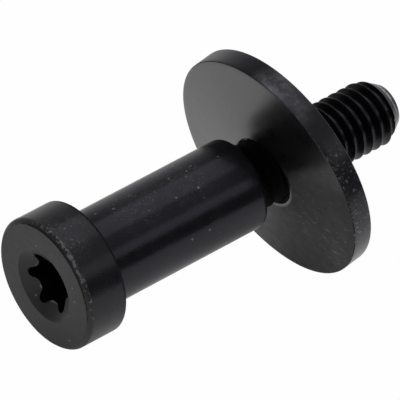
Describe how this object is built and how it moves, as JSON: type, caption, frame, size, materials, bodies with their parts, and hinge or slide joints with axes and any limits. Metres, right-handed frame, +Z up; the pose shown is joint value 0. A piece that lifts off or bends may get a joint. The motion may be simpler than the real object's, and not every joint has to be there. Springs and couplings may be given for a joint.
{
  "type": "striker bolt",
  "caption": "Round-headed striker bolt with a star drive recess, plain latch shank and shouldered threaded stud, with a loose dished washer on the thread.",
  "frame": {"origin": "middle of the underside of the part's box, on the surface that the bolt lies on", "axes": "+X from the head towards the threaded tip, as seen from above, +Z up"},
  "size_m": [0.0606, 0.0338, 0.0329],
  "materials": {
    "bolt_steel": "black phosphate, satin, lightly scuffed",
    "washer_steel": "black phosphate, satin, scratched"
  },
  "bodies": {
    "root": {"striker_bolt": "bolt_steel", "washer": "washer_steel"}
  },
  "joints": []
}
